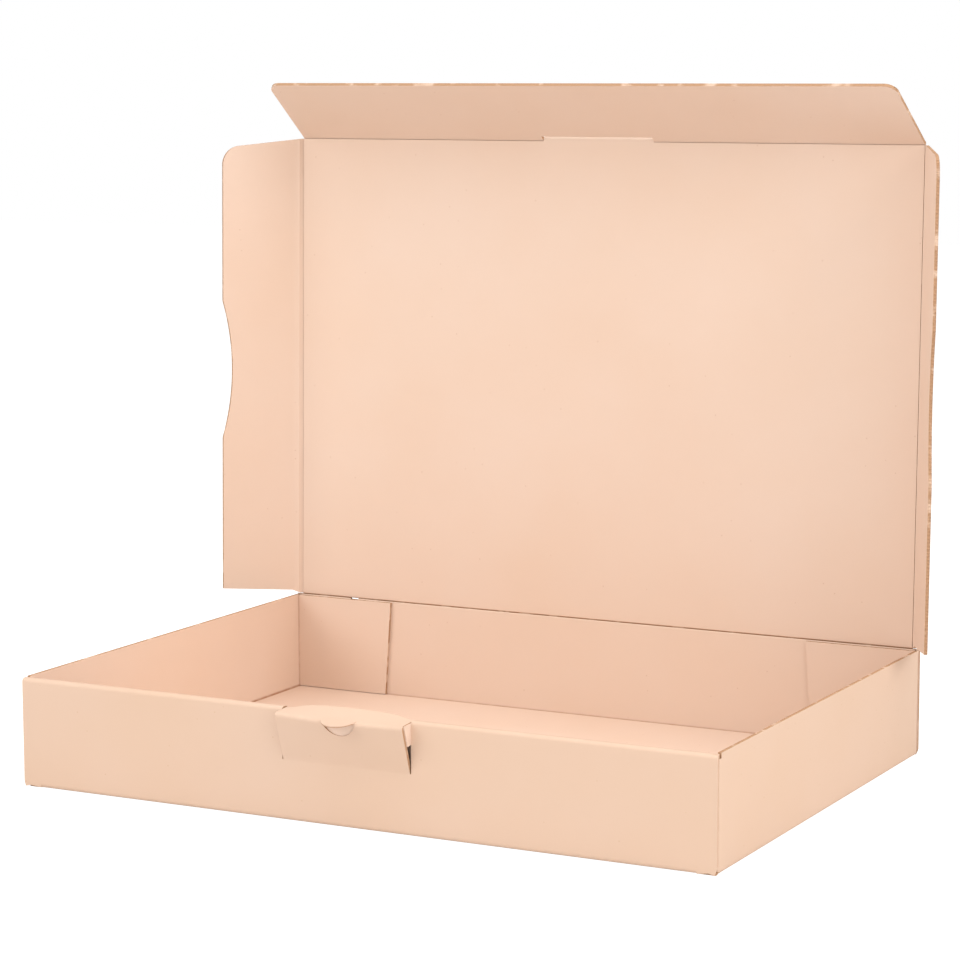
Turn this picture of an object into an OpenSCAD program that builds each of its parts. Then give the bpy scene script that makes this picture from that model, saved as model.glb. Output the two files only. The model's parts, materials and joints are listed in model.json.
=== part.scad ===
// Flat mailer box folded from one sheet of thin corrugated board, standing open.
// Origin: middle of the tray's underside. X runs left to right, Y front to back, Z up.

/* [Box] */
// Outside length of the tray, left to right
box_length = 350; // [260:5:420]
// Outside width of the tray, front to back
box_width = 250; // [200:5:320]
// Height of the two side walls
wall_height = 51.5; // [46:1:70]
// Thickness of the board
board = 1.6; // [1.2:0.1:2]
// Gap left where two panels turn on one crease
crease_gap = 0.1; // [0.05:0.01:0.2]

/* [Front wall and corner flaps] */
// How much lower the rolled front wall is than the side walls
front_drop = 0.4; // [0:0.1:2]
// Length of the corner flaps along their top edge, from the side wall's outside
corner_flap = 58; // [40:1:70]
// How much shorter the corner flaps are at the floor
corner_flap_taper = 3.5; // [0:0.5:10]
// How far the corner flaps stay below the wall tops
corner_flap_drop = 1.6; // [0.5:0.1:4]

/* [Lock in the front wall] */
// Width of the lock, cut through the outer panel and the rolled top
lock_width = 62; // [40:1:90]
// Distance from the rolled top down to the lock's crease
lock_drop = 23.4; // [15:0.2:30]
// Length of the lock panel, from its crease to the fold of the strip
lock_panel = 22.8; // [14:0.2:28]
// How far the lock panel leans out
lock_lean = 18.5; // [10:0.5:25]
// How far the strip's back edge rises above the rolled top
strip_rise = 0.5; // [0:0.1:2]
// Gap between the lock and the cut edges beside it
lock_gap = 0.5; // [0.2:0.1:1.5]
// Width of the half-moon thumb tongue
tongue_width = 17; // [10:0.5:24]
// How far the thumb tongue stands out
tongue_depth = 7; // [4:0.5:9]

/* [Lid] */
// Room between the shut tuck flap and the inside of the front wall
tuck_room = 1.2; // [0.5:0.1:4]
// Room between a side flap folded square and the inside of the side wall
flap_room = 0.3; // [0.2:0.1:2]
// Height of the hinge crease above the side walls
hinge_rise = 1.3; // [1.1:0.1:3]
// How far the open lid leans back
lid_lean = 1.4; // [0:0.1:10]

/* [Side flaps of the lid] */
// How much narrower each side flap is than the side walls are high
flap_clearance = 7; // [3:0.5:14]
// How much the end next to the tuck flap slopes over the flap's width
flap_taper = 5; // [1:0.5:12]
// How much the end next to the hinge slopes over the flap's width
flap_heel = 3; // [1:0.5:12]
// Radius of the free corner next to the tuck flap
flap_corner = 10; // [4:0.5:16]
// Length of the shallow curved notch in the free edge
notch_length = 72; // [30:1:90]
// Depth of the notch
notch_depth = 5.2; // [2:0.1:12]
// How far the left flap is folded in
left_fold = 50; // [10:1:80]
// How far the right flap is folded in
right_fold = 64; // [10:1:80]

/* [Tuck flap] */
// How much shorter the tuck flap is than the side walls are high
tuck_clearance = 3.5; // [2:0.5:10]
// How much narrower each end of the tuck flap is at its free edge
tuck_taper = 1.8; // [1:0.1:20]
// Radius of the tuck flap's corners
tuck_corner = 6; // [2:0.5:20]
// How far the tuck flap is folded in
tuck_fold = 56; // [20:1:85]
// How far the tab that stays in the lid's plane stands past the crease
tab_depth = 3.4; // [2:0.1:8]

/* [Hidden] */
cut = 1;
half = board / 2;
crease_reach = half + crease_gap;
front_y = -box_width / 2;
back_y = box_width / 2;
side_x = box_length / 2;
front_top = wall_height - front_drop;
roll_depth = 3 * board;
crease_x = side_x - board - flap_room - half;
hinge_y = back_y - half;
lid_length = box_width - board - roll_depth - tuck_room;
flap_width = wall_height - flap_clearance;
tuck_depth = wall_height - tuck_clearance;
tab_width = lock_width - 2 * lock_gap;
hinge_z = wall_height + hinge_rise;
back_top = hinge_z - crease_reach;
flap_top = wall_height - corner_flap_drop;
lock_foot = [front_y + half, front_top - lock_drop];
lock_front = lock_foot + lock_panel * [-sin(lock_lean), cos(lock_lean)];
lock_back = [front_y + roll_depth - half, front_top - half + strip_rise];
lock_half = lock_width / 2;
notch_radius = (pow(notch_length / 2, 2) + pow(notch_depth, 2)) / (2 * notch_depth);
tab_gap = 0.3;
tab_round = 2.5;
slot_half = tab_width / 2 + tab_gap;
bend_radius = 1.2;
bend_steps = 4;
kraft = "#f3cdb0";
$fn = 48;

// Rounds the edge along X whose corner is the origin, with the board towards +Y and +Z
module edge_cutter(length) {
    difference() {
        translate([-cut, -cut, -cut])
            cube([length + 2 * cut, board + cut, board + cut]);
        translate([-2 * cut, board, board])
            rotate([0, 90, 0])
                cylinder(r = board, h = length + 4 * cut);
    }
}

// Direction of length 1, and the same turned a quarter left
function unit(v) = v / norm(v);
function left_of(v) = [-v[1], v[0]];

// Points of a round bend in place of the corner b on the way from a to c
function bend(a, b, c) = let (
    u = unit(a - b),
    w = unit(c - b),
    opening = acos(u * w) / 2,
    centre = b + unit(u + w) * bend_radius / sin(opening),
    first = b + u * bend_radius / tan(opening) - centre,
    turn = sign(left_of(b - a) * (c - b)) * (180 - 2 * opening)
) [for (k = [0:bend_steps])
    let (angle = turn * k / bend_steps)
        centre + [first[0] * cos(angle) - first[1] * sin(angle), first[0] * sin(angle) + first[1] * cos(angle)]];

// Way along the board at point i of a line
function heading(line, i) = unit(line[min(i + 1, len(line) - 1)] - line[max(i - 1, 0)]);

// Outline of a board whose middle follows a line
function board_outline(line) = concat(
    [for (i = [0 : len(line) - 1]) line[i] + half * left_of(heading(line, i))],
    [for (i = [len(line) - 1 : -1 : 0]) line[i] - half * left_of(heading(line, i))]
);

// Half-moon in the X-Y plane, its straight side on X and its bulge towards -Y
module half_moon(width, depth) {
    radius = (pow(width / 2, 2) + pow(depth, 2)) / (2 * depth);
    intersection() {
        translate([0, radius - depth])
            circle(r = radius);
        translate([-width / 2, -depth])
            square([width, depth]);
    }
}

module floor_panel() {
    translate([-side_x, front_y, 0])
        cube([box_length, box_width, board]);
}

module back_wall() {
    translate([-side_x, back_y - board, 0])
        cube([box_length, board, back_top]);
}

module side_walls() {
    for (side = [-1, 1])
        translate([side * (side_x - half) - half, front_y + board, 0])
            cube([board, box_width - 2 * board, wall_height]);
}

// Corner flap of the right side wall, folded inside the back wall
module corner_flap_plate() {
    rotate([90, 0, 0])
        linear_extrude(board)
            polygon([
                [side_x - half, half],
                [side_x - half, flap_top],
                [side_x - corner_flap, flap_top],
                [side_x - corner_flap + corner_flap_taper, half]
            ]);
}

module rear_corner_flaps() {
    for (side = [0, 1])
        mirror([side, 0, 0])
            translate([0, back_y - board, 0])
                corner_flap_plate();
}

// Room between the two front panels, from one trapped corner flap to the other
module front_room() {
    top_x = side_x - corner_flap;
    foot_x = top_x + corner_flap_taper;
    translate([0, front_y + 2 * board, 0])
        rotate([90, 0, 0])
            linear_extrude(board)
                polygon([
                    [-foot_x, board],
                    [foot_x, board],
                    [top_x, front_top - board],
                    [-top_x, front_top - board]
                ]);
}

// Outer panel, rolled top and inner panel, with the room between them left open
module front_wall() {
    difference() {
        translate([-side_x, front_y, 0])
            cube([box_length, roll_depth, front_top]);
        front_room();
        translate([-side_x, front_y, front_top])
            mirror([0, 0, 1])
                edge_cutter(box_length);
        translate([-side_x, front_y + roll_depth, front_top])
            mirror([0, 1, 0])
                mirror([0, 0, 1])
                    edge_cutter(box_length);
        // Opening for the lock, in the outer panel and the rolled top
        translate([-lock_half, front_y - cut, lock_foot[1]])
            cube([lock_width, 2 * board + cut, lock_drop + cut]);
        translate([-lock_half, front_y - cut, front_top - board])
            cube([lock_width, roll_depth + 2 * cut, board + cut]);
    }
}

// The lock: a panel leaning out from its crease, and a strip back over the wall
module lock() {
    below = lock_foot - [0, board];
    inside = [lock_back[0], front_top - 2 * board];
    line = concat(
        [below, lock_foot],
        bend(lock_foot, lock_front, lock_back),
        bend(lock_front, lock_back, inside),
        [inside]
    );
    difference() {
        translate([-tab_width / 2, 0, 0])
            rotate([90, 0, 90])
                linear_extrude(tab_width)
                    polygon(board_outline(line));
        translate([0, lock_front[0], lock_front[1]])
            rotate([90 + lock_lean, 0, 0])
                translate([0, 0, -board])
                    linear_extrude(2 * board)
                        half_moon(tongue_width, tongue_depth);
    }
    translate([0, lock_front[0], lock_front[1] - half]) {
        width = tongue_width - 2 * tab_gap;
        linear_extrude(board) {
            half_moon(width, tongue_depth);
            translate([-width / 2, 0])
                square([width, 2 * board]);
        }
    }
}

// Round outside of a side wall's upright fold, next to the front panel
module upright_groove() {
    depth = 0.75 * board;
    difference() {
        translate([side_x - depth, front_y + board, board])
            cube([depth + cut, board, wall_height]);
        translate([side_x - board, front_y + 2 * board, 0])
            cylinder(r = board, h = wall_height + 2 * board);
    }
}

module folded_tray() {
    color(kraft)
        difference() {
            union() {
                floor_panel();
                back_wall();
                side_walls();
                rear_corner_flaps();
                front_wall();
                lock();
            }
            // Rounded folds along the foot of the four walls
            translate([-side_x, front_y, 0])
                edge_cutter(box_length);
            translate([-side_x, back_y, 0])
                mirror([0, 1, 0])
                    edge_cutter(box_length);
            for (side = [0, 1])
                mirror([side, 0, 0]) {
                    translate([side_x, back_y, 0])
                        rotate([0, 0, -90])
                            mirror([0, 1, 0])
                                edge_cutter(box_width);
                    upright_groove();
                    mirror([0, 1, 0])
                        upright_groove();
                }
        }
}

// Puts a piece drawn flat in X-Y, hinge on X and lid upwards in +Y, on the open lid
module on_lid() {
    translate([0, hinge_y, hinge_z])
        rotate([90 - lid_lean, 0, 0])
            children();
}

// Flat panel of board lying in the X-Y plane, half above it and half below
module flat_board() {
    translate([0, 0, -half])
        linear_extrude(board)
            children();
}

module lid_panel() {
    tuck_edge = lid_length - crease_reach;
    color(kraft)
        on_lid() {
            difference() {
                flat_board()
                    union() {
                        translate([-crease_x, 0])
                            square([2 * crease_x, tuck_edge]);
                        translate([-tab_width / 2, tuck_edge - cut])
                            tab_outline();
                    }
                for (side = [0, 1])
                    mirror([side, 0, 0])
                        side_crease_cutter();
            }
            translate([-crease_x + crease_reach, 0, 0])
                rotate([0, 90, 0])
                    cylinder(r = half, h = 2 * (crease_x - crease_reach));
        }
}

// Room for a side flap's round crease: a groove outside, a square step inside
module side_crease_cutter() {
    translate([crease_x, -cut - half, 0])
        rotate([-90, 0, 0])
            cylinder(r = crease_reach, h = lid_length + 2 * cut);
    translate([crease_x - crease_reach, -cut - half, 0])
        cube([2 * crease_reach, lid_length + 2 * cut, board]);
    translate([crease_x - half / 2, -cut - half, -board])
        cube([2 * crease_reach, lid_length + 2 * cut, 2 * board]);
}

// Tab from just inside the lid to its end past the crease, with small round corners
module tab_outline() {
    height = cut + crease_reach + tab_depth;
    square([tab_width, height - tab_round]);
    translate([tab_round, height - tab_round])
        circle(r = tab_round);
    translate([tab_width - tab_round, height - tab_round])
        circle(r = tab_round);
    translate([tab_round, 0])
        square([tab_width - 2 * tab_round, height]);
}

// Side flap drawn flat: its crease on Y, its free edge towards +X
module side_flap_outline() {
    top = lid_length - crease_reach;
    lean = atan2(flap_taper, flap_width);
    // Centre of the rounded corner, one radius in from the free edge and the sloped end
    corner_x = flap_width - flap_corner;
    corner_y = top - corner_x * tan(lean) - flap_corner / cos(lean);
    difference() {
        union() {
            polygon([
                [0, crease_reach],
                [flap_width, crease_reach + flap_heel],
                [flap_width, corner_y],
                [corner_x, corner_y],
                [corner_x + flap_corner * sin(lean), corner_y + flap_corner * cos(lean)],
                [0, top]
            ]);
            translate([corner_x, corner_y])
                circle(r = flap_corner, $fn = 96);
        }
        translate([flap_width - notch_depth + notch_radius, lid_length / 2])
            circle(r = notch_radius, $fn = 360);
    }
}

// Right side flap, flat, with the round bead of its crease
module side_flap(fold) {
    on_lid()
        translate([crease_x, 0, 0])
            rotate([0, -fold, 0]) {
                flat_board()
                    side_flap_outline();
                translate([0, crease_reach, 0])
                    rotate([-90, 0, 0])
                        cylinder(r = half, h = lid_length - 2 * crease_reach);
            }
}

module left_flap() {
    color(kraft)
        mirror([1, 0, 0])
            side_flap(left_fold);
}

module right_flap() {
    color(kraft)
        side_flap(right_fold);
}

// Tuck flap drawn flat: its crease on X, its free edge towards +Y
module tuck_outline() {
    lean = atan2(tuck_taper, tuck_depth);
    corner_y = tuck_depth - tuck_corner;
    corner_x = crease_x - crease_reach - corner_y * tan(lean) - tuck_corner / cos(lean);
    difference() {
        for (side = [0, 1])
            mirror([side, 0]) {
                polygon([
                    [0, 0],
                    [crease_x - crease_reach, 0],
                    [corner_x + tuck_corner * cos(lean), corner_y + tuck_corner * sin(lean)],
                    [corner_x, corner_y],
                    [corner_x, tuck_depth],
                    [0, tuck_depth]
                ]);
                translate([corner_x, corner_y])
                    circle(r = tuck_corner);
            }
        translate([-slot_half, -cut])
            square([2 * slot_half, cut + tab_depth + tab_gap]);
    }
}

module tuck_flap() {
    bead = crease_x - crease_reach - slot_half;
    color(kraft)
        on_lid()
            translate([0, lid_length, 0])
                rotate([tuck_fold, 0, 0]) {
                    flat_board()
                        tuck_outline();
                    for (start = [-slot_half - bead, slot_half])
                        translate([start, 0, 0])
                            rotate([0, 90, 0])
                                cylinder(r = half, h = bead);
                }
}

folded_tray();
lid_panel();
left_flap();
right_flap();
tuck_flap();
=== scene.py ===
import bmesh
import bpy
import json
import math
from mathutils import Matrix, Vector


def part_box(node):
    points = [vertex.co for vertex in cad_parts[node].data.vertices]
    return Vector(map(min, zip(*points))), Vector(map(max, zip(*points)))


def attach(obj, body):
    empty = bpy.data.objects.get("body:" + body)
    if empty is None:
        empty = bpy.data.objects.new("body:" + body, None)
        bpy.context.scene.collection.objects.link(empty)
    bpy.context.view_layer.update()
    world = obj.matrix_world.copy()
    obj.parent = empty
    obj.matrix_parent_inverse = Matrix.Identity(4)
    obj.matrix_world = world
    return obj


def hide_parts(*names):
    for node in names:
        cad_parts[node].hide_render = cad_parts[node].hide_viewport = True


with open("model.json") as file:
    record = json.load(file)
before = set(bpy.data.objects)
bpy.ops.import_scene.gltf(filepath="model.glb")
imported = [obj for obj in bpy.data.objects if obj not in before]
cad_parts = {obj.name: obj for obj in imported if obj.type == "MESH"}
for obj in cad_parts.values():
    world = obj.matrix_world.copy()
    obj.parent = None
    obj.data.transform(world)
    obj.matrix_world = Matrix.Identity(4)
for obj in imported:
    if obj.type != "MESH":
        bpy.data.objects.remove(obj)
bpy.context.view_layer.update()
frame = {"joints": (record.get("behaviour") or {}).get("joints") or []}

mm = 0.001

# The board, its folds and its cut edges, in millimetres
board = {
    "thick": 1.6,
    "flute": 3.4,  # one full wave of the fine flute between the liners
    "foldOffset": 0.9,  # how far from the corner a square fold starts
    "foldSteps": 4,
    "liner": 0.22,  # paper left standing round each open flute
    "openDepth": 0.3,  # how deep the open flutes are drawn
    "cell": 9.0,  # spacing of the mesh along the flutes
    "creaseGap": 0.1,
    "swell": 1.11,  # how much thicker a crease's bead is than the board
    "beadRound": 0.97,  # the bead's radius, as a share of half the board
    "beadSteps": 5,
    "smoothUnder": 35,  # faces that meet at less than this are shaded as one surface
}
half = board["thick"] * mm / 2
step = board["flute"] * mm / 2  # half a wave, the spacing of the mesh across the flutes
cell = board["cell"] * mm
reach = half + board["creaseGap"] * mm
tiny = 0.05 * mm  # points nearer than this are taken as one
exact = 0.01 * mm  # a point this near to a cut lies on it
slack = 0.1 * mm  # how far past a plane a point may lie and still be taken as on its near side
facing = 0.7  # a face looks along an axis if its normal has more than this share of it

joint = {j["name"]: j for j in frame["joints"]}
hinge = Vector(joint["lid_hinge"]["pos_m"])
tuckCrease = Vector(joint["tuck_flap_fold"]["pos_m"])
creaseX = joint["right_flap_fold"]["pos_m"][0]
lidLength = (tuckCrease - hinge).length
lidLean = math.degrees(math.atan2(tuckCrease.y - hinge.y, tuckCrease.z - hinge.z))
foldNames = ("left_flap_fold", "right_flap_fold", "tuck_flap_fold")
foldAngle = {name: -joint[name]["range_deg"][0] for name in foldNames}
sideX, backY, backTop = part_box("folded_tray")[1]
midX = sideX - half  # middle of the side walls' board
midY = backY - half  # middle of the front and back walls' board


# Mesh helpers

def only(piece):
    bpy.ops.object.select_all(action="DESELECT")
    piece.select_set(True)
    bpy.context.view_layer.objects.active = piece


def editMode(piece):
    only(piece)
    bpy.ops.object.mode_set(mode="EDIT")
    bpy.ops.mesh.select_all(action="DESELECT")


def objectMode():
    bpy.ops.object.mode_set(mode="OBJECT")


def pick(piece, kind, test):
    # Selects the vertices, edges or faces that pass the test, in edit mode, and counts them
    mesh = bmesh.from_edit_mesh(piece.data)
    bpy.ops.mesh.select_all(action="DESELECT")
    bpy.context.tool_settings.mesh_select_mode = (kind == "verts", kind == "edges", kind == "faces")
    mesh.select_mode = {{"verts": "VERT", "edges": "EDGE", "faces": "FACE"}[kind]}
    found = [part for part in getattr(mesh, kind) if test(part)]
    for part in found:
        part.select_set(True)
    mesh.select_flush_mode()
    bmesh.update_edit_mesh(piece.data)
    return len(found)


def ends(test):
    # Makes a test on points into one that every corner of an edge or face has to pass
    return lambda part: all(test(v.co) for v in part.verts)


def gridPanel(name, sizeX, sizeY, cellsX, cellsY, place):
    # A flat grid of that size in the X-Y plane, put in its place by a matrix
    bpy.ops.object.select_all(action="DESELECT")
    bpy.ops.mesh.primitive_grid_add(x_subdivisions=cellsX, y_subdivisions=cellsY, size=1)
    piece = bpy.context.object
    piece.name = name
    piece.scale = (sizeX, sizeY, 1)
    bpy.ops.object.transform_apply(location=True, rotation=True, scale=True)
    moveTo(piece, place)
    return piece


def moveTo(piece, place):
    only(piece)
    piece.matrix_world = place
    bpy.ops.object.transform_apply(location=True, rotation=True, scale=True)


def joined(first, *others):
    only(first)
    for piece in others:
        piece.select_set(True)
    bpy.ops.object.join()
    return first


def merge(piece):
    editMode(piece)
    bpy.ops.mesh.select_all(action="SELECT")
    bpy.ops.mesh.remove_doubles(threshold=tiny)
    bpy.ops.mesh.normals_make_consistent(inside=False)
    objectMode()


def cutAlong(piece, point, normal, test=lambda face: True, remove=False):
    # Cuts the faces that pass the test with a plane, and may take away what lies beyond it
    editMode(piece)
    if pick(piece, "faces", test):
        bpy.ops.mesh.bisect(plane_co=point, plane_no=normal, clear_outer=remove, threshold=exact)
    objectMode()


def removeFaces(piece, test):
    editMode(piece)
    if pick(piece, "faces", test):
        bpy.ops.mesh.delete(type="FACE")
    objectMode()


def withModifier(piece, kind, **settings):
    # Adds a modifier, sets it and applies it
    only(piece)
    bpy.ops.object.modifier_add(type=kind)
    modifier = piece.modifiers[-1]
    for key, value in settings.items():
        setattr(modifier, key, value)
    bpy.ops.object.modifier_apply(modifier=modifier.name)
    return piece


def givePapers(piece):
    for material in papers:
        piece.data.materials.append(material)


def thicken(piece):
    # Gives the sheet its thickness, with the lowest face turned down as part of the box's outside
    givePapers(piece)
    editMode(piece)
    bpy.ops.mesh.select_all(action="SELECT")
    bpy.ops.mesh.normals_make_consistent(inside=False)
    faces = bmesh.from_edit_mesh(piece.data).faces
    lowest = min(faces, key=lambda face: face.calc_center_median().z)
    if lowest.normal.z > 0:
        bpy.ops.mesh.flip_normals()
    objectMode()
    withModifier(
        piece, "SOLIDIFY", thickness=2 * half, offset=0, use_even_offset=True,
        material_offset=1, material_offset_rim=cutSlot)


def at(x, y, z):
    return Matrix.Translation((x, y, z))


def turned(angle, axis):
    return Matrix.Rotation(math.radians(angle), 4, axis)


def openFlutes(piece, test, along):
    # Opens each half flute along a cut edge as a small three-cornered recess, its point up and down by turns
    along = Vector(along)
    editMode(piece)
    count = pick(piece, "faces", lambda face: face.material_index == cutSlot and test(face))
    if count:
        bpy.ops.mesh.inset(thickness=board["liner"] * mm, depth=-board["openDepth"] * mm, use_individual=True)
        mesh = bmesh.from_edit_mesh(piece.data)
        pointed = set()
        for face in mesh.faces:
            if not face.select:
                continue
            centre = face.calc_center_median()
            across = face.normal.cross(along)
            if round(centre.dot(along) / step - 0.5) % 2:
                across = -across
            side = max(face.edges, key=lambda edge: sum((v.co - centre).dot(across) for v in edge.verts))
            pointed.add(side)
        bpy.context.tool_settings.mesh_select_mode = (False, True, False)
        mesh.select_mode = {"EDGE"}
        for face in mesh.faces:
            face.select_set(False)
        for edge in mesh.edges:
            edge.select_set(edge in pointed)
        mesh.select_flush_mode()
        bmesh.update_edit_mesh(piece.data)
        bpy.ops.mesh.merge(type="COLLAPSE")
    objectMode()
    return count


def roundRim(piece, axis, rimAt):
    # Rounds the rim at one end of an axis into a bead round the joint's line, swollen as crushed board is
    def isLong(edge):
        a, b = edge.verts[0].co, edge.verts[1].co
        return near(a[axis], rimAt) and near(b[axis], rimAt) and near(a.z, b.z)
    editMode(piece)
    pick(piece, "edges", isLong)
    radius = half * board["beadRound"]
    bpy.ops.mesh.bevel(offset=radius, segments=board["beadSteps"], affect="EDGES", clamp_overlap=False)
    pick(piece, "verts", lambda v: v.co[axis] * rimAt > -tiny * half)
    swell = [board["swell"]] * 3
    swell[1 - axis] = 1
    bpy.ops.transform.resize(value=swell, center_override=(0, 0, 0))
    objectMode()


def clampTo(piece, axis, limit):
    # Brings what stands out past a plane back to it
    sign = 1 if limit > 0 else -1
    flat = [1, 1, 1]
    flat[axis] = 0
    place = [0, 0, 0]
    place[axis] = limit
    editMode(piece)
    if pick(piece, "verts", lambda v: v.co[axis] * sign > abs(limit)):
        bpy.ops.transform.resize(value=flat, center_override=place)
    objectMode()


def near(a, b):
    return abs(a - b) < tiny


def centred(test):
    # Makes a test on points into one that a face's middle has to pass
    return lambda face: test(face.calc_center_median())


def carry(piece, name, body, node):
    # Names a finished piece, ties it to its body and hides the node it stands for
    piece.name = name
    piece.data.name = name
    only(piece)
    bpy.ops.object.shade_smooth_by_angle(angle=math.radians(board["smoothUnder"]))
    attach(piece, body)
    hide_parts(node)


# Materials

def linear(text):
    # An sRGB hex colour as the linear one that a shader takes
    channels = [int(text[i:i + 2], 16) / 255 for i in (1, 3, 5)]
    return [c / 12.92 if c <= 0.04045 else ((c + 0.055) / 1.055) ** 2.4 for c in channels] + [1]


def addNode(tree, kind, links=(), **settings):
    # Adds a node, sets its values and inputs, and links its inputs to other nodes' outputs
    node = tree.nodes.new(kind)
    for key, value in settings.items():
        if key.startswith("in_"):
            node.inputs[int(key[3:]) if key[3:].isdigit() else key[3:]].default_value = value
        else:
            setattr(node, key, value)
    for name, output in links:
        tree.links.new(output, node.inputs[name])
    return node


# Colours of the papers, and what shows in them, in millimetres
paper = {
    "outside": ("#d2b5a0", "#d0b199"),
    # Paler than the outside, partly as painted light for the shaded inside of the box
    "inside": ("#dcc3b1", "#dabea9"),
    "cut": ("#cfb29b", "#ae8869"),
    "cloud": (70.0, 0.2, 0.8),  # one soft patch of colour in millimetres, and where it turns into the next
    "dash": (9.0, 0.34, 0.44),  # the same for the darker stretches of a cut edge
    # Painted shade for folds, gaps and hollows, also the darker tone of the front wall's crushed ends
    "crease": "#a87a5c",
    "creaseWander": (6.0, 0.35, 0.65, 0.7, 1.0),  # the painted shade fades to 0.7 and back about every 6 mm
    "fleck": "#c19c82",
    "fleckSpacing": 5.0,
    "fleckFade": (0.03, 0.09, 0.6, 0.0),  # in shares of the spacing: fleck at 0.03, plain paper at 0.09
    "fleckShare": 0.25,  # of the places that could hold a fleck
    "fibre": 0.5,  # drawn coarser than real fibres, 0.03 mm thick, so that they show
    "washboard": 0.12,  # the liner's dips between the flutes, against its fibres
    "linerBump": 0.12,
    "cutBump": 0.3,
    "bumpDistance": 0.1,
    "roughness": 0.88,
    "sheen": 0.2,
}


def kraftPaper(name, tones, isCut=False):
    # Uncoated kraft, made from the tones named; liners also get creases and other shaded places drawn as
    # painted shade, flecks and a faint washboard
    material = bpy.data.materials.new(name)
    material.use_nodes = True
    tree = material.node_tree
    shader = tree.nodes["Principled BSDF"]
    shader.inputs["Roughness"].default_value = paper["roughness"]
    shader.inputs["Specular IOR Level"].default_value = paper["sheen"]
    where = addNode(tree, "ShaderNodeTexCoord").outputs["Object"]

    def add(kind, links, **settings):
        return addNode(tree, "ShaderNode" + kind, links, **settings).outputs

    def noise(size, detail):
        return add("TexNoise", [("Vector", where)], in_Scale=1 / (size * mm), in_Detail=detail)[0]

    def mapped(value, low, high, first=0.0, last=1.0):
        return add("MapRange", [("Value", value)], in_1=low, in_2=high, in_3=first, in_4=last)[0]

    def tinted(amount, base, tint):
        return add("Mix", [(0, amount), (6, base)], data_type="RGBA", in_7=linear(tint))[2]

    size, low, high = paper["dash" if isCut else "cloud"]
    amount = mapped(noise(size, detail=3.0), low, high)
    first, second = paper[tones]
    colour = add("Mix", [(0, amount)], data_type="RGBA", in_6=linear(first), in_7=linear(second))[2]
    fibre = noise(paper["fibre"], detail=4.0)
    height = fibre
    if not isCut:
        # Painted shade: each vertex's number darkens the liner at folds, behind the lock, under the tongue
        # and in the hinge's gap; on the front wall's crushed ends it is their darker tone
        crease = add("Attribute", [], attribute_name="crease")["Fac"]
        size, *fade = paper["creaseWander"]
        uneven = mapped(noise(size, detail=2.0), *fade)
        dark = add("Math", [(0, crease), (1, uneven)], operation="MULTIPLY")[0]
        colour = tinted(dark, colour, paper["crease"])
        spots = add("TexVoronoi", [("Vector", where)], in_Scale=1 / (paper["fleckSpacing"] * mm))
        close = mapped(spots["Distance"], *paper["fleckFade"])
        chance = add("SeparateColor", [("Color", spots["Color"])])[0]
        rare = add("Math", [(0, chance)], operation="LESS_THAN", in_1=paper["fleckShare"])[0]
        fleck = add("Math", [(0, close), (1, rare)], operation="MULTIPLY")[0]
        colour = tinted(fleck, colour, paper["fleck"])
        # Washboard: the liner dips very slightly between the flutes it is glued to
        across = add("Attribute", [], attribute_name="across")["Fac"]
        pitch = 2 * math.pi / (board["flute"] * mm)
        wave = add("Math", [(0, across)], operation="MULTIPLY", in_1=pitch)[0]
        ripple = add("Math", [(0, wave)], operation="SINE")[0]
        height = add("Math", [(0, ripple), (2, fibre)], operation="MULTIPLY_ADD", in_1=paper["washboard"])[0]
    tree.links.new(colour, shader.inputs["Base Color"])
    strength = paper["cutBump" if isCut else "linerBump"]
    distance = paper["bumpDistance"] * mm
    bump = add("Bump", [("Height", height)], in_Strength=strength, in_Distance=distance)[0]
    tree.links.new(bump, shader.inputs["Normal"])
    return material


papers = (
    # Unbleached kraft, machine finished: matt and warm, faintly cloudy, with a few dark fibre flecks
    kraftPaper("uncoated_kraft_outer_liner", "outside"),
    # The same paper in a paler shade, so the box is lighter inside than out; the paler tone is partly painted
    # light, making up for the shade inside the box
    kraftPaper("uncoated_kraft_inner_liner", "inside"),
    # Raw board as the die leaves it: browner and rougher than the liners, with short pale stretches
    kraftPaper("die_cut_board_edge", "cut", isCut=True),
)
outerSlot, innerSlot, cutSlot = 0, 1, 2


def mark(piece, name, measure):
    # Writes one number for each vertex, which the liner's material reads
    layer = piece.data.attributes.new(name, "FLOAT", "POINT")
    for i, vertex in enumerate(piece.data.vertices):
        layer.data[i].value = measure(vertex.co)


# Tray: one sheet folded up from the floor, and the side walls with their corner flaps

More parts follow.
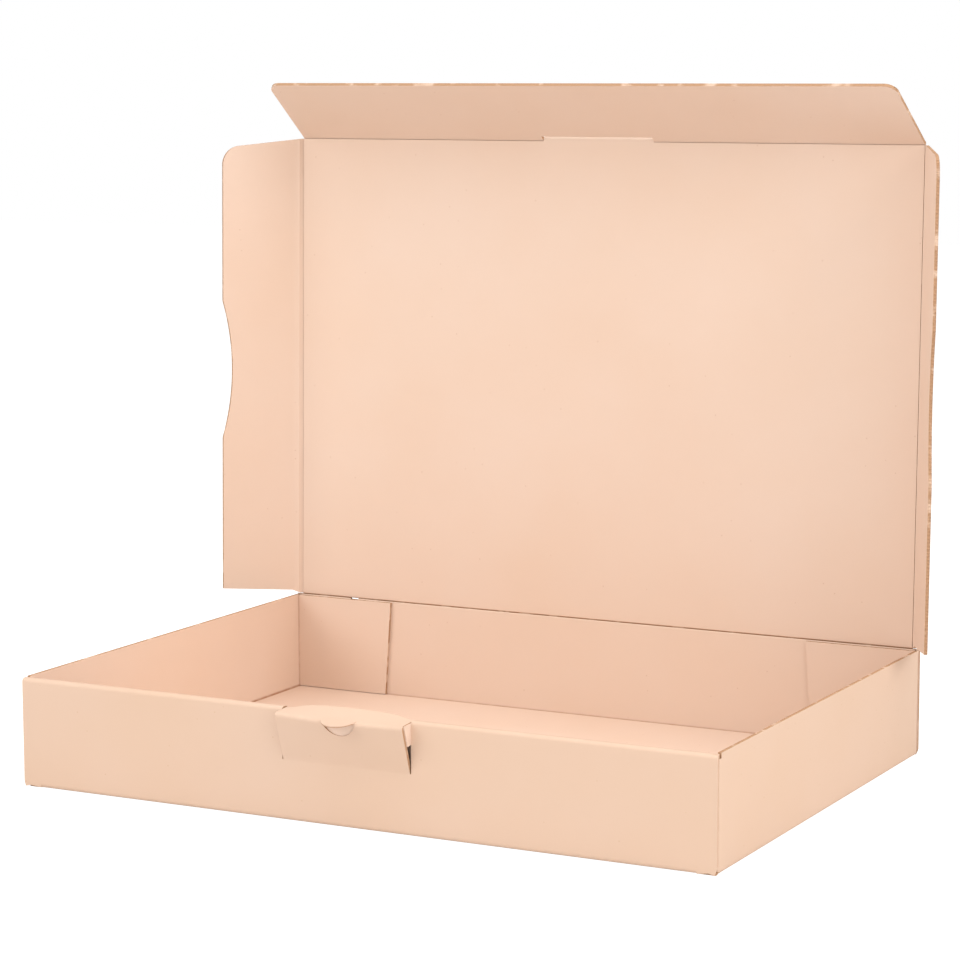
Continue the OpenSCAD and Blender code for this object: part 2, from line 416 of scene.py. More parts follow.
tray = {
    "wallTop": 51.5,
    "frontTop": 51.1,
    "rollRun": 3.4,  # between the middles of the two front panels
    "innerFoot": 1.8,  # where the inner front panel's cut edge stands on the floor
    "innerEnd": 1.3,  # how far that panel's ends draw in from the side walls, in halves of the board
    "panelEnd": 3.0,  # an upright row of the mesh keeps what happens to a panel's end close to it
    "floorEnd": 2.1,  # the same for the floor
    "wallRows": 6,
    "footRow": 2.8,
    "flapEnd": 117.0,  # the corner flaps' free end at the top, from the middle of the box
    "flapTaper": 3.5,
    "rearFlapTop": 51.2,
    "frontFlapTop": 49.2,
    "flapFoot": 1.9,
    "aboveFold": 3.0,  # from here up a point is clear of the folds round the floor
    "topsFrom": 45.0,  # and from here up a face that looks up is a wall's or a flap's top
    "fluteFrom": 100.0,  # the corner flaps are beyond this, from the middle of the box
    "lockLeft": -34.2,
    "lockRight": 31.0,
    "lockSlit": 0.5,
    "lockDrop": 23.4,
    "lockPanel": 22.8,
    "lockLean": 18.5,
    "lockFold": 1.0,  # how far from the corner its folds start
    "innerDrop": 3.0,  # the strip's back ends this far below the roll
    "stripRise": -0.4,
    "stripArch": 2.9,  # how far the middle of its back edge stands up
    "stripSag": 0.9,  # and the middle of its front fold hangs down
    "bendFlat": 6.5,  # half the width, at its middle, that moves by the full amount
    "sagFrom": (0.4, 2.0),  # the panel's own rows are so far below the front fold, and not so far behind it
    "sagReach": 4.0,  # how far down the panel the sag is felt
    "archReach": 2.0,  # and how far above its lower end the strip's back takes up the whole arch
    "webFoot": 12.5,  # the web in the gap at the lock's right end starts so far above the lock's crease
    "webSize": 30.0,  # before it is trimmed
    "webOut": 0.05,  # how far it reaches past the lock's end
    "webBehind": 0.6,  # and into the wall
    "webBelow": 0.35,  # how far below the strip's upper side it stops
    "webToe": 3.0,  # where its foot's slope starts, behind the strip's front fold
    "webSlope": (1.2, -7.0),  # the way that slope faces, back and up
    "webThick": 0.7,
    "tongueWidth": 17.0,
    "tongueDepth": 7.2,
    "tongueThick": 0.7,  # crushed thinner than the board by the die
    "tongueDroop": 11.0,
    "tongueRoot": (1.5, 0.25),  # behind and above the strip's front fold
    "tongueTrim": 0.35,  # the tongue is so much smaller than its hole all round
    "tongueOverlap": 0.5,
    "holeDepth": 0.3,  # at the thumb hole's lowest point; the panel's back liner shows in it
    "holeTilt": -10.0,
    "holeTop": 0.3,  # its straight edge, below the strip's front fold
    "holeTool": 3.2,  # thickness of the disc that cuts it
    "nick": (-142.0, -137.5, 0.8),  # a cut right through the lid's crease: its two ends and its depth
    "hingeRound": 0.95,
    "hingeSteps": 4,
}


def folded(length):
    # How many half flutes fit across a panel
    return max(1, round(length / step))


wallY = midY - 2 * midY / folded(2 * midY)  # one half flute short of the floor's corners
rollZ = tray["frontTop"] * mm - half
rollY = -midY + tray["rollRun"] * mm
lockLean = math.radians(tray["lockLean"])
lockFoot = (tray["frontTop"] - tray["lockDrop"]) * mm
lockMiddle = (tray["lockLeft"] + tray["lockRight"]) / 2 * mm
lockCrease = Vector((0, -midY, lockFoot))
lockFront = Vector((0, -math.sin(lockLean), math.cos(lockLean))) * tray["lockPanel"] * mm + lockCrease
stripBack = Vector((0, rollY, rollZ + tray["stripRise"] * mm))
rootBehind, rootAbove = (length * mm for length in tray["tongueRoot"])
tongueRoot = Vector((lockMiddle, lockFront.y + rootBehind, lockFront.z + rootAbove))
aboveFold = tray["aboveFold"] * mm
tongueFrame = Matrix.Translation(tongueRoot) @ turned(tray["tongueDroop"], "X")


def makeSideSheet(side):
    # Side wall with a corner flap folded in at each end, as one sheet standing on the floor's edge
    height = tray["wallTop"] * mm - half
    middle = half + height / 2
    run = midX - tray["flapEnd"] * mm
    upright = turned(90, "X")
    rows = tray["wallRows"]
    wallPlace = at(side * midX, 0, middle) @ turned(90, "Z") @ upright
    frontPlace = at(side * (midX - run / 2), -wallY, middle) @ upright
    rearPlace = at(side * (midX - run / 2), wallY, middle) @ upright
    wall = gridPanel("side", 2 * wallY, height, folded(2 * midY) - 2, rows, wallPlace)
    front = gridPanel("frontFlap", run, height, folded(run), rows, frontPlace)
    rear = gridPanel("rearFlap", run, height, folded(run), rows, rearPlace)
    sheet = joined(wall, front, rear)
    merge(sheet)
    for level in (tray["flapFoot"], tray["footRow"], tray["frontFlapTop"], tray["rearFlapTop"]):
        cutAlong(sheet, (0, 0, level * mm), (0, 0, 1))
    isFlap = lambda p: abs(p.x) < midX - tiny
    flapTop = lambda p: tray["rearFlapTop"] if p.y > 0 else tray["frontFlapTop"]
    removeFaces(sheet, centred(lambda p: isFlap(p) and p.z < tray["flapFoot"] * mm))
    removeFaces(sheet, centred(lambda p: isFlap(p) and p.z > flapTop(p) * mm))
    removeFaces(sheet, centred(lambda p: p.y < step - wallY and p.z > tray["frontFlapTop"] * mm))
    slope = Vector((-side * height, 0, -tray["flapTaper"] * mm)).normalized()
    corner = (side * tray["flapEnd"] * mm, 0, tray["wallTop"] * mm)
    cutAlong(sheet, corner, slope, centred(isFlap), remove=True)
    return sheet


def shiftEnds(piece, shift, test=lambda p: True):
    # Moves the two ends of a panel outwards, or inwards where shift is negative
    for side in (-1, 1):
        editMode(piece)
        pick(piece, "verts", lambda v: near(v.co.x, side * midX) and test(v.co))
        bpy.ops.transform.translate(value=(side * shift, 0, 0))
        objectMode()


def cutEnds(panel, away):
    # Adds a row of the mesh near each end of a panel
    for x in (-midX + away * mm, midX - away * mm):
        cutAlong(panel, (x, 0, 0), (1, 0, 0))


def makeTray():
    width, length = 2 * midX, 2 * midY
    columns = round(width / cell)
    backHeight, outerHeight, innerHeight = backTop - half, rollZ - half, rollZ - tray["innerFoot"] * mm
    upright = turned(90, "X")
    backPlace = at(0, midY, half + backHeight / 2) @ upright
    outerPlace = at(0, -midY, (rollZ + half) / 2) @ upright
    innerPlace = at(0, rollY, rollZ - innerHeight / 2) @ upright
    bottom = gridPanel("floor", width, length, columns, folded(length), at(0, 0, half))
    cutEnds(bottom, tray["floorEnd"])
    back = gridPanel("back", width, backHeight, columns, folded(backHeight), backPlace)
    nickStart, nickEnd, nickDepth = (part * mm for part in tray["nick"])
    for x in (nickStart, nickEnd):
        cutAlong(back, (x, 0, 0), (1, 0, 0))
    cutAlong(back, (0, 0, backTop - nickDepth), (0, 0, 1))
    removeFaces(back, centred(lambda p: nickStart < p.x < nickEnd and p.z > backTop - nickDepth))
    outer = gridPanel("outer", width, outerHeight, columns, folded(rollZ), outerPlace)
    roll = gridPanel("roll", width, rollY + midY, columns, 2, at(0, (rollY - midY) / 2, rollZ))
    inner = gridPanel("inner", width, innerHeight, columns, folded(innerHeight), innerPlace)
    for panel in (back, outer, roll, inner):
        cutEnds(panel, tray["panelEnd"])
    for panel in (back, outer):
        shiftEnds(panel, half, lambda p: p.z > half + tiny)
    shiftEnds(roll, half, lambda p: not near(p.y, rollY))
    for panel in (roll, inner):
        shiftEnds(panel, -tray["innerEnd"] * half, lambda p: near(p.y, rollY))
    sheet = joined(bottom, back, outer, roll, inner, makeSideSheet(-1), makeSideSheet(1))
    merge(sheet)

    # Round every fold between two panels that meet square
    def isFold(edge):
        if len(edge.link_faces) != 2:
            return False
        first, second = edge.link_faces
        return abs(first.normal.dot(second.normal)) < 0.5  # steeper than 60 degrees
    editMode(sheet)
    print("  fold edges", pick(sheet, "edges", isFold))
    offset = board["foldOffset"] * mm
    bpy.ops.mesh.bevel(offset=offset, segments=board["foldSteps"], affect="EDGES", clamp_overlap=False)
    objectMode()
    foldLock(sheet)
    thicken(sheet)
    for axis, limit in ((0, sideX), (0, -sideX), (1, backY), (2, 0)):
        clampTo(sheet, axis, limit)
    cutTongue(sheet)

    # The front wall's ends are crushed flat at the corners, so no flute shows there
    editMode(sheet)
    atFrontEnd = centred(lambda p: abs(p.x) > sideX - tiny and p.y < half - midY and p.z > aboveFold)
    pick(sheet, "faces", lambda face: abs(face.normal.x) > facing and atFrontEnd(face))
    sheet.active_material_index = outerSlot
    bpy.ops.object.material_slot_assign()
    objectMode()
    return sheet


def foldLock(sheet):
    # Cuts the lock out of the outer panel and the roll, and folds it out
    left, right, slit = tray["lockLeft"] * mm, tray["lockRight"] * mm, tray["lockSlit"] * mm
    inFront = centred(lambda p: p.y < rollY + slack and p.z > aboveFold)
    inOuter = centred(lambda p: p.y < -midY + slack and p.z > aboveFold)
    inInner = centred(lambda p: near(p.y, rollY) and left < p.x < right)
    for x in (left, left + slit, right - slit, right):
        cutAlong(sheet, (x, 0, 0), (1, 0, 0), inFront)
    cutAlong(sheet, (0, 0, lockFoot), (0, 0, 1), inOuter)
    innerTop = rollZ - tray["innerDrop"] * mm
    cutAlong(sheet, (0, 0, innerTop), (0, 0, 1), inInner)

    def inOpening(p):
        if not left < p.x < right or p.y > rollY + slack or p.z < lockFoot:
            return False
        return p.y < rollY - slack or p.z > innerTop
    removeFaces(sheet, centred(inOpening))

    def atCrease(p):
        return near(p.z, lockFoot) and p.y < -midY + slack and left + slit - tiny < p.x < right - slit + tiny
    editMode(sheet)
    pick(sheet, "edges", ends(atCrease))
    for start, end in (
        (lockCrease, lockFront),
        (lockFront, stripBack),
        (stripBack, Vector((0, rollY, innerTop))),
    ):
        cuts = folded((end - start).length)
        for i in range(cuts):
            bpy.ops.mesh.extrude_edges_move(TRANSFORM_OT_translate={"value": (end - start) / cuts})
    objectMode()
    merge(sheet)
    editMode(sheet)
    atFold = lambda p: any(near(p.y, fold.y) and near(p.z, fold.z) for fold in (lockFront, stripBack))
    pick(sheet, "edges", lambda edge: ends(atFold)(edge) and near(edge.verts[0].co.y, edge.verts[1].co.y))
    bpy.ops.mesh.bevel(offset=tray["lockFold"] * mm, segments=3, affect="EDGES", clamp_overlap=False)

    # Each row of the lock's mesh bends by itself, with the rest hidden: the strip's back up, its front down
    arch, sag = tray["stripArch"] * mm, tray["stripSag"] * mm
    sagReach, archReach, flat = tray["sagReach"] * mm, tray["archReach"] * mm, tray["bendFlat"] * mm
    sagBelow, sagBehind = (length * mm for length in tray["sagFrom"])

    def bend(y, z):
        if z < lockFront.z - sagBelow and y < lockFront.y + sagBehind:
            return -sag * max(0, 1 - (lockFront.z - z) / sagReach)
        share = min(1, max(0, (y - lockFront.y) / (stripBack.y - lockFront.y)))
        return ((arch + sag) * share - sag) * min(1, max(0, (z - innerTop) / archReach))
    inLock = lambda p: left < p.x < right and p.y < rollY + slack and p.z > lockFoot + mm
    points = [v.co for v in bmesh.from_edit_mesh(sheet.data).verts if inLock(v.co)]
    rows = {(round(p.z, 5), round(p.y, 5)) for p in points}
    for z, y in sorted(rows, reverse=True):
        lift = bend(y, z)
        if not lift:
            continue
        inRow = lambda v: inLock(v.co) and near(v.co.y, y) and near(v.co.z, z)
        pick(sheet, "verts", lambda v: not inRow(v))
        bpy.ops.mesh.hide(unselected=False)
        pick(sheet, "verts", lambda v: inRow(v) and abs(v.co.x - lockMiddle) < flat)
        bpy.ops.transform.translate(
            value=(0, 0, lift), use_proportional_edit=True,
            proportional_edit_falloff="SPHERE", proportional_size=right - lockMiddle - flat)
        bpy.ops.mesh.reveal(select=False)
    objectMode()


def cutTongue(sheet):
    # A half-moon cut leaves a hole in the lock panel and a thumb tongue on the strip
    width, depth = tray["tongueWidth"] * mm, tray["tongueDepth"] * mm
    radius = ((width / 2) ** 2 + depth ** 2) / (2 * depth)

    def disc(name, grow, height, place, capSlot, rimSlot):
        # The round that cuts the hole or makes the tongue, before a plane trims it to a half-moon
        bpy.ops.object.select_all(action="DESELECT")
        bpy.ops.mesh.primitive_cylinder_add(vertices=72, radius=radius + grow, depth=height)
        piece = bpy.context.object
        piece.name = name
        givePapers(piece)
        for face in piece.data.polygons:
            face.material_index = rimSlot if abs(face.normal.z) < 0.5 else capSlot
        moveTo(piece, place)
        return piece

    leanFrame = Matrix.Translation(lockFront) @ turned(90 + tray["lockLean"], "X")
    slab = tray["holeTool"] * mm
    lowest = at(0, -depth, half - tray["holeDepth"] * mm)
    holeFrame = at(lockMiddle, 0, 0) @ leanFrame @ lowest @ turned(tray["holeTilt"], "X")
    # The hole's floor is the panel's back liner, whose paler tone is also painted light, so that it looks as
    # lit as the panel round it
    hole = disc("hole", 0, slab, holeFrame @ at(0, radius, slab / 2), innerSlot, cutSlot)
    holeTop = Vector((0, 0, (tray["stripSag"] + tray["holeTop"]) * mm))
    cutAlong(hole, lockFront - holeTop, (0, 0, 1), remove=True)
    tonguePlace = tongueFrame @ at(0, radius - depth - rootBehind, 0)
    trim, thick = tray["tongueTrim"] * mm, tray["tongueThick"] * mm
    tongue = disc("tongue", -trim, thick, tonguePlace, outerSlot, outerSlot)
    cutAlong(tongue, tongueRoot + Vector((0, tray["tongueOverlap"] * mm, 0)), (0, 1, 0), remove=True)
    for tool in (hole, tongue):
        editMode(tool)
        pick(tool, "edges", lambda edge: len(edge.link_faces) == 1)
        bpy.ops.mesh.edge_face_add()
        objectMode()
    for tool, operation in ((hole, "DIFFERENCE"), (tongue, "UNION"), (makeWeb(), "UNION")):
        withModifier(sheet, "BOOLEAN", object=tool, operation=operation, solver="MANIFOLD")
        bpy.data.objects.remove(tool)


def makeWeb():
    # A thin upright web between the lock panel's right end and the wall, cut off at a slope below
    foot = lockFoot + tray["webFoot"] * mm
    size = tray["webSize"] * mm
    x = tray["lockRight"] * mm + tray["webOut"] * mm - tray["webThick"] * mm / 2
    web = gridPanel("web", size, size, 1, 1, at(x, lockFront.y + size / 2, foot + size / 2) @ turned(90, "Y"))
    along = stripBack - lockFront
    for point, normal in (
        (lockFront + Vector((0, half, -half)), (0, -math.cos(lockLean), -math.sin(lockLean))),
        (Vector((0, tray["webBehind"] * mm - midY, 0)), (0, 1, 0)),
        (lockFront + Vector((0, 0, half - tray["webBelow"] * mm)), (0, -along.z, along.y)),
        (Vector((0, lockFront.y + tray["webToe"] * mm, foot)), (0, *tray["webSlope"])),
    ):
        cutAlong(web, point, Vector(normal).normalized(), remove=True)
    givePapers(web)
    for face in web.data.polygons:
        face.material_index = innerSlot
    return withModifier(web, "SOLIDIFY", thickness=tray["webThick"] * mm, offset=0)


# How dark each place is painted, from 0 to 1, and how far it reaches in millimetres: painted shade at the
# folds, behind the lock, under the tongue and in the hinge's gap, and a darker tone on the front wall's
# crushed ends
shadeAndCrush = {
    # Painted shade along the folds round the floor and at the corner flaps
    "sideFold": 1.0,
    "backFold": 0.6,
    "cornerFold": 0.5,
    "foldReach": 0.75,
    "behindLock": (0.4, 4.0),  # painted shade in the cavity behind the lock, on the inner front panel from 4 mm below the roll downwards
    "frontEnd": 0.6,
    # Painted shade on the tongue's underside and lower edge, over the hole
    "tongueUnder": 1.0,
    "hinge": 0.7,  # painted shadow of the gap under the lid's hinge, in dashes, every other cell of the mesh
    "hingeReach": 1.4,
    "hingeEnd": 2.0,  # its marks stop this far beyond the corner flap's free end
}


def trayShadeAndCrush(p):
    # How dark the board is painted at this point: painted shade at the folds, behind the lock, under the
    # tongue and in dashes along the hinge's gap, and a darker tone on the front wall's crushed ends
    foot = 2 * half
    sideAway, backAway = abs(p.x) - (midX - half), p.y - (midY - half)
    lines = (
        (math.hypot(sideAway, p.z - foot), shadeAndCrush["sideFold"]),
        (math.hypot(backAway, p.z - foot), shadeAndCrush["backFold"]),
        (math.hypot(sideAway, p.y - (wallY - half)), shadeAndCrush["cornerFold"]),
    )
    behindLock, below = shadeAndCrush["behindLock"]
    inLock = tray["lockLeft"] * mm < p.x < tray["lockRight"] * mm
    if inLock and near(p.y, rollY - half) and p.z < rollZ - below * mm:
        return behindLock
    if abs(p.x) > sideX - tiny and near(p.y, half - midY) and p.z > aboveFold:
        return shadeAndCrush["frontEnd"]
    if p.y < lockFront.y - 1.2 * half:
        return shadeAndCrush["tongueUnder"] if (tongueFrame.inverted() @ p).z < 0 else 0.0
    hingeEnd = -(tray["flapEnd"] + shadeAndCrush["hingeEnd"]) * mm
    atHinge = near(p.y, midY - half) and p.z > backTop - shadeAndCrush["hingeReach"] * mm and -midX < p.x < hingeEnd
    if atHinge and round(p.x / cell) % 2:
        return shadeAndCrush["hinge"]
    return max(strength if away < shadeAndCrush["foldReach"] * mm else 0.0 for away, strength in lines)


def trayAcross(p):
    # Distance across the flutes: upright in side walls and corner flaps, along the box elsewhere
    floorTop = 2.5 * half
    if abs(p.x) > midX - 3 * half:
        return p.y
    if abs(abs(p.y) - wallY) < 1.1 * half and abs(p.x) > tray["fluteFrom"] * mm and p.z > floorTop:
        return p.x
    return p.y if p.z < floorTop else p.z


trayBoard = makeTray()
print("tray", len(trayBoard.data.polygons), "faces")


def isHingeRim(edge):
    # Either long edge of the back wall's top
    a, b = (v.co for v in edge.verts)
    return near(a.z, backTop) and near(b.z, backTop) and near(a.y, b.y) and abs(abs(a.y - midY) - half) < tiny


editMode(trayBoard)
print("  bead edges", pick(trayBoard, "edges", isHingeRim))
hingeRound = half * tray["hingeRound"]
bpy.ops.mesh.bevel(offset=hingeRound, segments=tray["hingeSteps"], affect="EDGES", clamp_overlap=False)
objectMode()
looksUp = lambda face: face.normal.z > facing and face.calc_center_median().z > tray["topsFrom"] * mm
looksAside = lambda face: abs(face.normal.x) > facing
onSideWall = centred(lambda p: abs(p.x) > midX - half and abs(p.y) < wallY)
onRearLeftFlap = centred(lambda p: near(p.y, wallY) and 0 < -p.x < midX - 2 * half)
onBackWall = centred(lambda p: p.y > midY - 1.5 * half)
for place, test, along in (
    ("the side walls' tops", lambda face: looksUp(face) and onSideWall(face), (0, 1, 0)),
    ("the back wall's ends", lambda face: looksAside(face) and onBackWall(face), (0, 0, 1)),
    ("the rear left flap's top", lambda face: looksUp(face) and onRearLeftFlap(face), (1, 0, 0)),
):
    print("  half flutes opened in", place, openFlutes(trayBoard, test, along))
# Painted shade and the crushed ends' darker tone, one number for each vertex
mark(trayBoard, "crease", trayShadeAndCrush)
mark(trayBoard, "across", trayAcross)
carry(trayBoard, "tray_board", "tray", "folded_tray")
print("tray ready")

# Lid, its side flaps and its tuck flap, each made flat and then folded

lid = {
    "rows": 40,
    "bow": 1.2,  # how far the middle of the lid bulges back
    "scoreAway": 2.4,  # the score line's ridge, from the crease
    "scoreHalf": 0.8,
    "scoreHeight": 0.3,
    "tabHalf": 30.5,
    "tabDepth": 4.2,
    "tabLean": 40.0,
    "tabSlope": 0.7,
    "tabRound": (0.6, 2.2),  # left and right corner
    "flapColumns": 5,
    "flapWidth": 44.5,
    "flapTaper": 5.0,
    "flapHeel": 3.0,
    "heelDrop": 0.45,  # how far below the hinge's line a side flap reaches at its crease
    "heelRun": (1.5, 6.0),  # between which distances from the crease its heel rises
    "freeFrom": 20.0,  # its free edge is beyond this
    "flapCorner": 10.0,
    "notchHalf": 36.0,
    "notchDepth": 5.2,
    "tuckDepth": 48.0,
    "tuckTaper": 1.8,
    "tuckCorner": 6.0,
    "tuckEnd": 100.0,  # its short edges are beyond this
    "slotHalf": 30.6,
    "slotDepth": 3.7,
}
lidFrame = Matrix.Translation(hinge) @ turned(90 - lidLean, "X")


def score(sheet, x):
    # A score line along Y at x: a low ridge on the inside of the board and a groove outside
    for shift in (-lid["scoreHalf"], 0, lid["scoreHalf"]):
        cutAlong(sheet, (x + shift * mm, 0, 0), (1, 0, 0))
    editMode(sheet)
    pick(sheet, "verts", lambda v: near(v.co.x, x))
    bpy.ops.transform.translate(value=(0, 0, lid["scoreHeight"] * mm))
    objectMode()


def makeLid():
    width = 2 * (creaseX - reach)
    top = lidLength - reach
    pastCrease = top + reach + mm
    panel = gridPanel("lid", width, top + half, round(width / cell), lid["rows"], at(0, (top - half) / 2, 0))
    tabHalf = lid["tabHalf"] * mm
    for x in (-tabHalf, tabHalf):
        cutAlong(panel, (x, 0, 0), (1, 0, 0))
    editMode(panel)
    centre = Vector((0, top / 2, 0))
    points = [v.co.copy() for v in bmesh.from_edit_mesh(panel.data).verts]
    middle = min(points, key=lambda p: (p - centre).length)
    pick(panel, "verts", lambda v: (v.co - middle).length < tiny)
    bpy.ops.transform.translate(
        value=(0, 0, -lid["bow"] * mm), use_proportional_edit=True,
        proportional_edit_falloff="SMOOTH", proportional_size=top / 2)
    pick(panel, "edges", ends(lambda p: near(p.y, top) and abs(p.x) < tabHalf + tiny))
    bpy.ops.mesh.extrude_edges_move(TRANSFORM_OT_translate={"value": (0, reach, 0)})
    lean = math.radians(lid["tabLean"])
    depth = Vector((0, math.cos(lean), -math.sin(lean))) * lid["tabDepth"] * mm
    bpy.ops.mesh.extrude_edges_move(TRANSFORM_OT_translate={"value": depth})
    pick(panel, "verts", lambda v: v.co.y > pastCrease and v.co.x > tabHalf - tiny)
    bpy.ops.transform.translate(value=(0, -lid["tabSlope"] * mm, 0))
    for side, radius in zip((-1, 1), lid["tabRound"]):
        pick(panel, "verts", lambda v: v.co.y > pastCrease and side * v.co.x > tabHalf - tiny)
        bpy.ops.mesh.bevel(offset=radius * mm, segments=4, affect="VERTICES", clamp_overlap=False)
    objectMode()
    thicken(panel)
    roundRim(panel, 1, -half)
    mark(panel, "across", lambda p: p.y)
    moveTo(panel, lidFrame)
    carry(panel, "lid_board", "lid", "lid_panel")


def roundCorner(sheet, centre, radius, start, end, steps=8):
    # Rounds a corner by straight cuts round an arc
    for i in range(steps + 1):
        angle = math.radians(start + (end - start) * i / steps)
        out = Vector((math.cos(angle), math.sin(angle), 0))
        cutAlong(sheet, Vector(centre) + radius * out, out, remove=True)


def makeSideFlap(side, fold, name, body, node):
    width, top = lid["flapWidth"] * mm, lidLength - reach
    taper, heel, corner = lid["flapTaper"] * mm, lid["flapHeel"] * mm, lid["flapCorner"] * mm
    low = lid["heelDrop"] * mm
    place = at(side * (width - half) / 2, (top - low) / 2, 0)
    sheet = gridPanel("flap", width + half, top + low, lid["flapColumns"], folded(top + low), place)
    start, end = (distance * mm for distance in lid["heelRun"])
    cutAlong(sheet, (side * end, 0, 0), (1, 0, 0))
    outer = centred(lambda p: side * p.x > end)
    inner = centred(lambda p: side * p.x < end)
    rise = reach + low + heel * end / width
    cutAlong(sheet, (0, reach, 0), Vector((side * heel, -width, 0)).normalized(), outer)
    cutAlong(sheet, (side * start, -low, 0), Vector((side * rise, start - end, 0)).normalized(), inner)

    def isBelow(p):
        away = side * p.x
        if away > end:
            return p.y < reach + heel * away / width
        return away > start and p.y < -low + rise * (away - start) / (end - start)
    removeFaces(sheet, centred(isBelow))
    cutAlong(sheet, (0, top, 0), Vector((side * taper, width, 0)).normalized(), remove=True)
    lean = math.atan2(taper, width)
    cornerX = width - corner
    centre = (side * cornerX, top - cornerX * math.tan(lean) - corner / math.cos(lean), 0)
    first, last = (0, 90 - math.degrees(lean)) if side > 0 else (180, 90 + math.degrees(lean))
    roundCorner(sheet, centre, corner, first, last)
    editMode(sheet)
    points = [v.co.y for v in bmesh.from_edit_mesh(sheet.data).verts]
    row = min(points, key=lambda y: abs(y - lidLength / 2))
    pick(sheet, "verts", lambda v: side * v.co.x > width - tiny and near(v.co.y, row))
    bpy.ops.transform.translate(
        value=(-side * lid["notchDepth"] * mm, 0, 0), use_proportional_edit=True,
        proportional_edit_falloff="INVERSE_SQUARE", proportional_size=lid["notchHalf"] * mm)
    objectMode()
    score(sheet, side * lid["scoreAway"] * mm)
    thicken(sheet)
    onFreeEdge = centred(lambda p: side * p.x > lid["freeFrom"] * mm)
    opened = openFlutes(sheet, lambda face: side * face.normal.x > facing and onFreeEdge(face), (0, 1, 0))
    print(" ", name, "half flutes opened", opened)
    roundRim(sheet, 0, -side * half)
    mark(sheet, "across", lambda p: p.y)
    moveTo(sheet, lidFrame @ at(side * creaseX, 0, 0) @ turned(-side * fold, "Y"))
    carry(sheet, name, body, node)


def makeTuckFlap():
    width, depth = creaseX - reach, lid["tuckDepth"] * mm
    taper, corner = lid["tuckTaper"] * mm, lid["tuckCorner"] * mm
    slotHalf, slotDepth = lid["slotHalf"] * mm, lid["slotDepth"] * mm
    columns, rows = round(2 * width / cell), folded(depth + half)
    sheet = gridPanel("tuck", 2 * width, depth + half, columns, rows, at(0, (depth - half) / 2, 0))
    lean = math.atan2(taper, depth)
    cornerY = depth - corner
    cornerX = width - cornerY * math.tan(lean) - corner / math.cos(lean)
    for side in (-1, 1):
        cutAlong(sheet, (side * width, 0, 0), Vector((side * depth, taper, 0)).normalized(), remove=True)
        first, last = (math.degrees(lean), 90) if side > 0 else (180 - math.degrees(lean), 90)
        roundCorner(sheet, (side * cornerX, cornerY, 0), corner, first, last, steps=6)
        cutAlong(sheet, (side * slotHalf, 0, 0), (1, 0, 0))
    inSlot = lambda p: abs(p.x) < slotHalf and p.y < slotDepth
    cutAlong(sheet, (0, slotDepth, 0), (0, 1, 0), centred(lambda p: abs(p.x) < slotHalf))
    removeFaces(sheet, centred(inSlot))
    thicken(sheet)
    onShortEdge = centred(lambda p: abs(p.x) > lid["tuckEnd"] * mm)
    opened = openFlutes(sheet, lambda face: abs(face.normal.x) > facing and onShortEdge(face), (0, 1, 0))
    print("  tuck flap half flutes opened", opened)
    roundRim(sheet, 1, -half)
    mark(sheet, "across", lambda p: p.y)
    moveTo(sheet, lidFrame @ at(0, lidLength, 0) @ turned(foldAngle["tuck_flap_fold"], "X"))
    carry(sheet, "tuck_board", "tuck", "tuck_flap")


makeLid()
makeSideFlap(-1, foldAngle["left_flap_fold"], "left_flap_board", "left_side_flap", "left_flap")
makeSideFlap(1, foldAngle["right_flap_fold"], "right_flap_board", "right_side_flap", "right_flap")
makeTuckFlap()
print("lid and flaps ready")

# Camera, from a fit to the box's corners in the photograph

camera = {
    "azimuth": 27.527,
    "elevation": 7.915,
    "roll": -0.158,
    "place": (0.6484, -1.2441, 0.3343),
    "lens": 112.92,
    "sensor": 36,
    "clipStart": 0.02,
}


def towards(azimuth, elevation):
    # Direction from the box to a camera or a lamp, its azimuth counted from the front to the right
    azimuth, elevation = math.radians(azimuth), math.radians(elevation)
    level = math.cos(elevation)
    return Vector((math.sin(azimuth) * level, -math.cos(azimuth) * level, math.sin(elevation)))


bpy.ops.object.camera_add()
cam = bpy.context.object
azimuth = math.radians(camera["azimuth"])
right = Vector((math.cos(azimuth), math.sin(azimuth), 0))
ahead = -towards(camera["azimuth"], camera["elevation"])
turn = Matrix((right, right.cross(ahead), -ahead)).transposed()
cam.matrix_world = Matrix.Translation(camera["place"]) @ turn.to_4x4() @ turned(camera["roll"], "Z")
cam.data.lens = camera["lens"]
cam.data.sensor_width = camera["sensor"]
cam.data.clip_start = camera["clipStart"]
bpy.context.scene.camera = cam

# Floor, world and lamps

stage = {
    "world": 0.42,
    "worldSeen": 1.0,  # the world as the camera sees it
    "floorSize": 8,
    "floorDrop": 0.1,
    "floorTone": "#e8e8e8",
    "floorGrey": 0.3,  # the floor as the camera sees it is this grey and glows, so shadows on it are faint
    "floorGlow": 0.92,
    "lampsLookAt": (0, 0, 0.1),
    "lamps": {
        "softbox_above": {"size": 1.8, "away": 1.9, "azimuth": 30, "elevation": 80, "watts": 23.5},
        "softbox_by_camera": {"size": 0.5, "away": 1.4, "azimuth": 15, "elevation": 8, "watts": 3.6},
        "softbox_left": {"size": 0.9, "away": 1.5, "azimuth": -45, "elevation": 30, "watts": 9.6},
        "softbox_right": {"size": 0.9, "away": 1.5, "azimuth": 62, "elevation": 30, "watts": 3.8},
        "softbox_side": {"size": 0.9, "away": 1.5, "azimuth": 88, "elevation": 28, "watts": 10.6},
    },
}


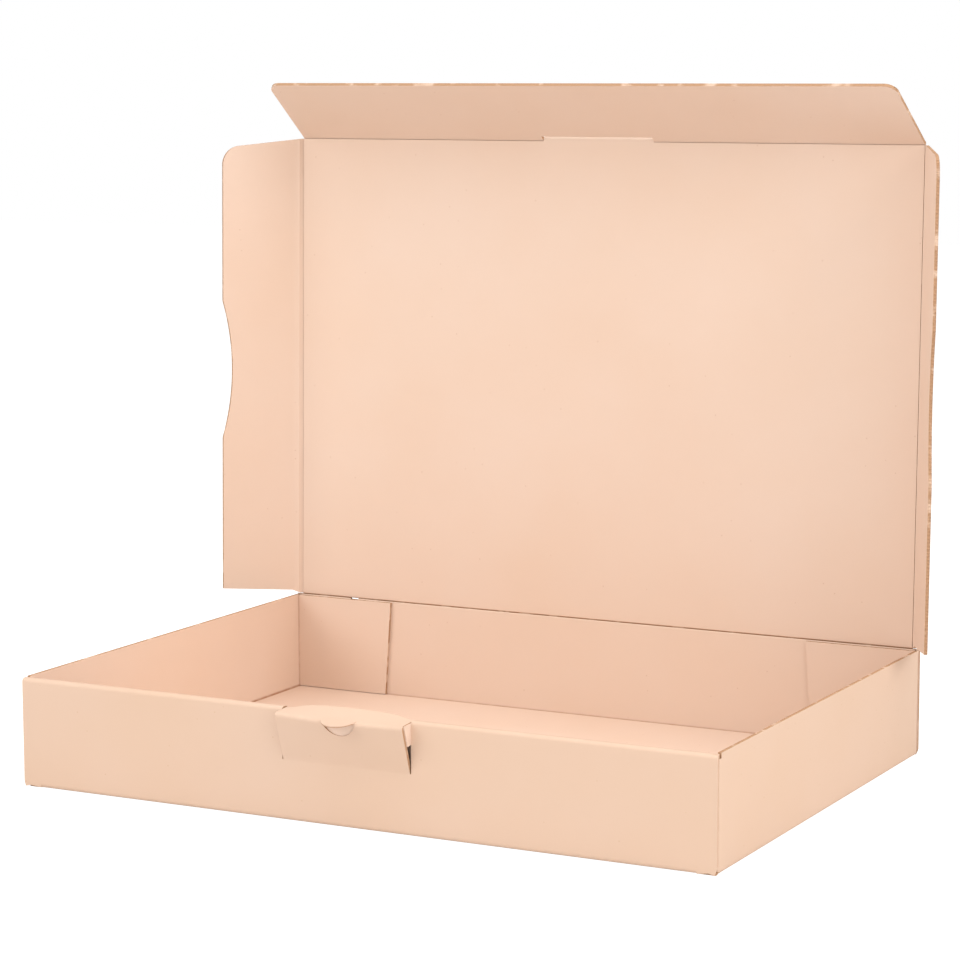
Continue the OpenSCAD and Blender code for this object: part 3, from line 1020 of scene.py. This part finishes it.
def seenRays(tree):
    # 1 for what the camera sees, also in gloss or through glass, and 0 for the light that falls on things
    rays = addNode(tree, "ShaderNodeLightPath").outputs
    seen = rays["Is Camera Ray"]
    for kind in ("Is Glossy Ray", "Is Transmission Ray"):
        seen = addNode(tree, "ShaderNodeMath", [(0, seen), (1, rays[kind])], operation="MAXIMUM").outputs[0]
    return seen


bpy.ops.mesh.primitive_plane_add(size=stage["floorSize"], location=(0, 0, -stage["floorDrop"] * mm))
floor = bpy.context.object
floor.name = "studio_floor"
only(floor)
bpy.ops.object.transform_apply(location=True)
# Matt white studio paint, which gives the eye a white ground with a soft shadow
floorPaint = bpy.data.materials.new("studio_floor_paint")
floorPaint.use_nodes = True
tree = floorPaint.node_tree
tree.nodes.clear()
matt = addNode(tree, "ShaderNodeBsdfDiffuse", in_Color=linear(stage["floorTone"]))
faint = addNode(tree, "ShaderNodeBsdfDiffuse", in_Color=[stage["floorGrey"]] * 3 + [1])
glow = addNode(tree, "ShaderNodeEmission", in_Strength=stage["floorGlow"])
white = addNode(tree, "ShaderNodeAddShader", [(0, faint.outputs[0]), (1, glow.outputs[0])])
seen = seenRays(tree)
mix = addNode(tree, "ShaderNodeMixShader", [(0, seen), (1, matt.outputs[0]), (2, white.outputs[0])])
addNode(tree, "ShaderNodeOutputMaterial", [("Surface", mix.outputs[0])])
floor.data.materials.append(floorPaint)

world = bpy.data.worlds.new("studio")
bpy.context.scene.world = world
world.use_nodes = True
tree = world.node_tree
tree.nodes.clear()
light = addNode(tree, "ShaderNodeBackground", in_Color=(1, 1, 1, 1), in_Strength=stage["world"])
plain = addNode(tree, "ShaderNodeBackground", in_Color=(1, 1, 1, 1), in_Strength=stage["worldSeen"])
seen = seenRays(tree)
mix = addNode(tree, "ShaderNodeMixShader", [(0, seen), (1, light.outputs[0]), (2, plain.outputs[0])])
addNode(tree, "ShaderNodeOutputWorld", [("Surface", mix.outputs[0])])

for name, setting in stage["lamps"].items():
    away = towards(setting["azimuth"], setting["elevation"])
    bpy.ops.object.light_add(type="AREA", location=away * setting["away"] + Vector(stage["lampsLookAt"]))
    lamp = bpy.context.object
    lamp.name = name
    lamp.rotation_euler = away.to_track_quat("Z", "Y").to_euler()
    lamp.data.size = setting["size"]
    lamp.data.energy = setting["watts"]

bpy.context.scene.view_settings.view_transform = "Standard"
